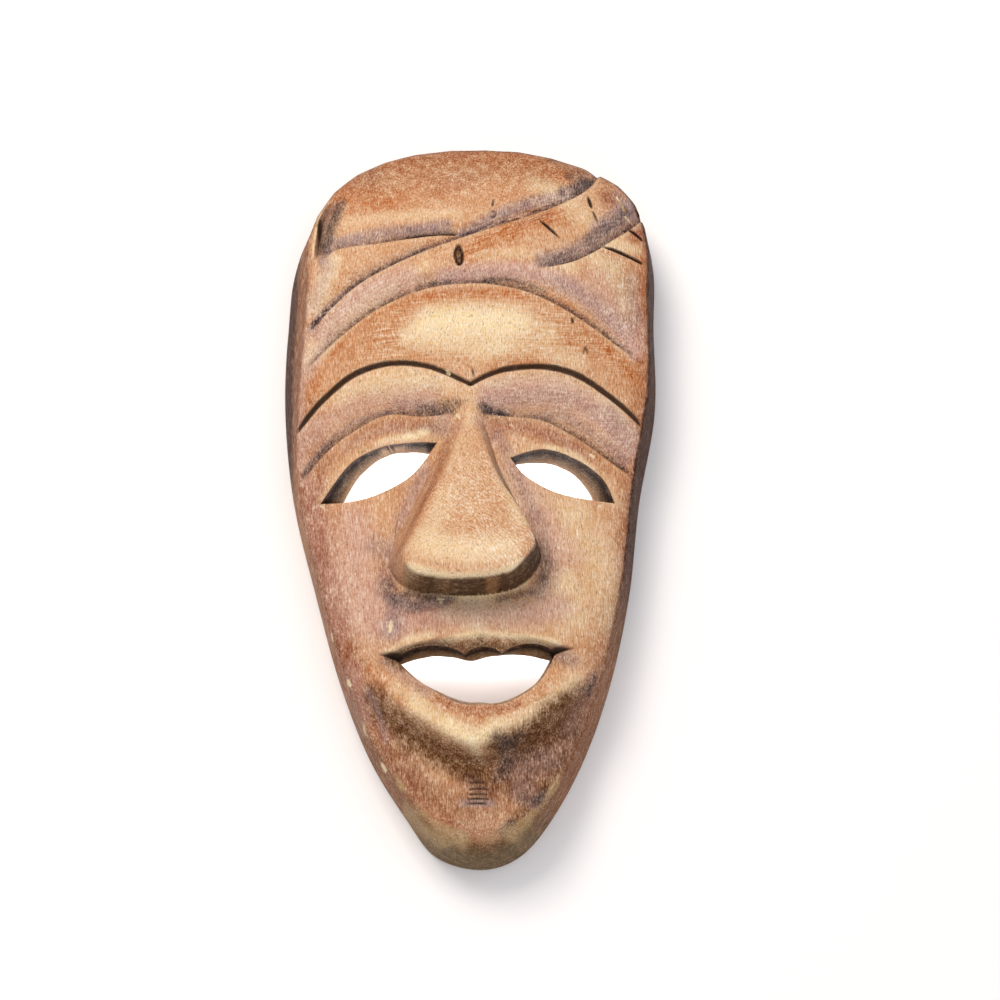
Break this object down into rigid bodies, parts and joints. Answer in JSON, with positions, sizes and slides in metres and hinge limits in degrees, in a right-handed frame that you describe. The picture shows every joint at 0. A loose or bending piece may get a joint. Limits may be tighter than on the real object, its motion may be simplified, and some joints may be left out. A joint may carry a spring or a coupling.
{
  "type": "carved wooden face mask",
  "caption": "Long carved wooden face mask, hollow behind, with slit eyes, a wedge nose, an open mouth, a pointed chin and a folded headwrap.",
  "frame": {"origin": "under the middle of the mask's outline, on the plane of the flat back rim", "axes": "+X to the viewer's right, +Y towards the top of the head, +Z out of the face"},
  "size_m": [0.155, 0.3, 0.0673],
  "materials": {
    "carved_wood": "satin, stained and rubbed back, dark in the cuts"
  },
  "bodies": {
    "root": {"mask": "carved_wood"}
  },
  "joints": []
}
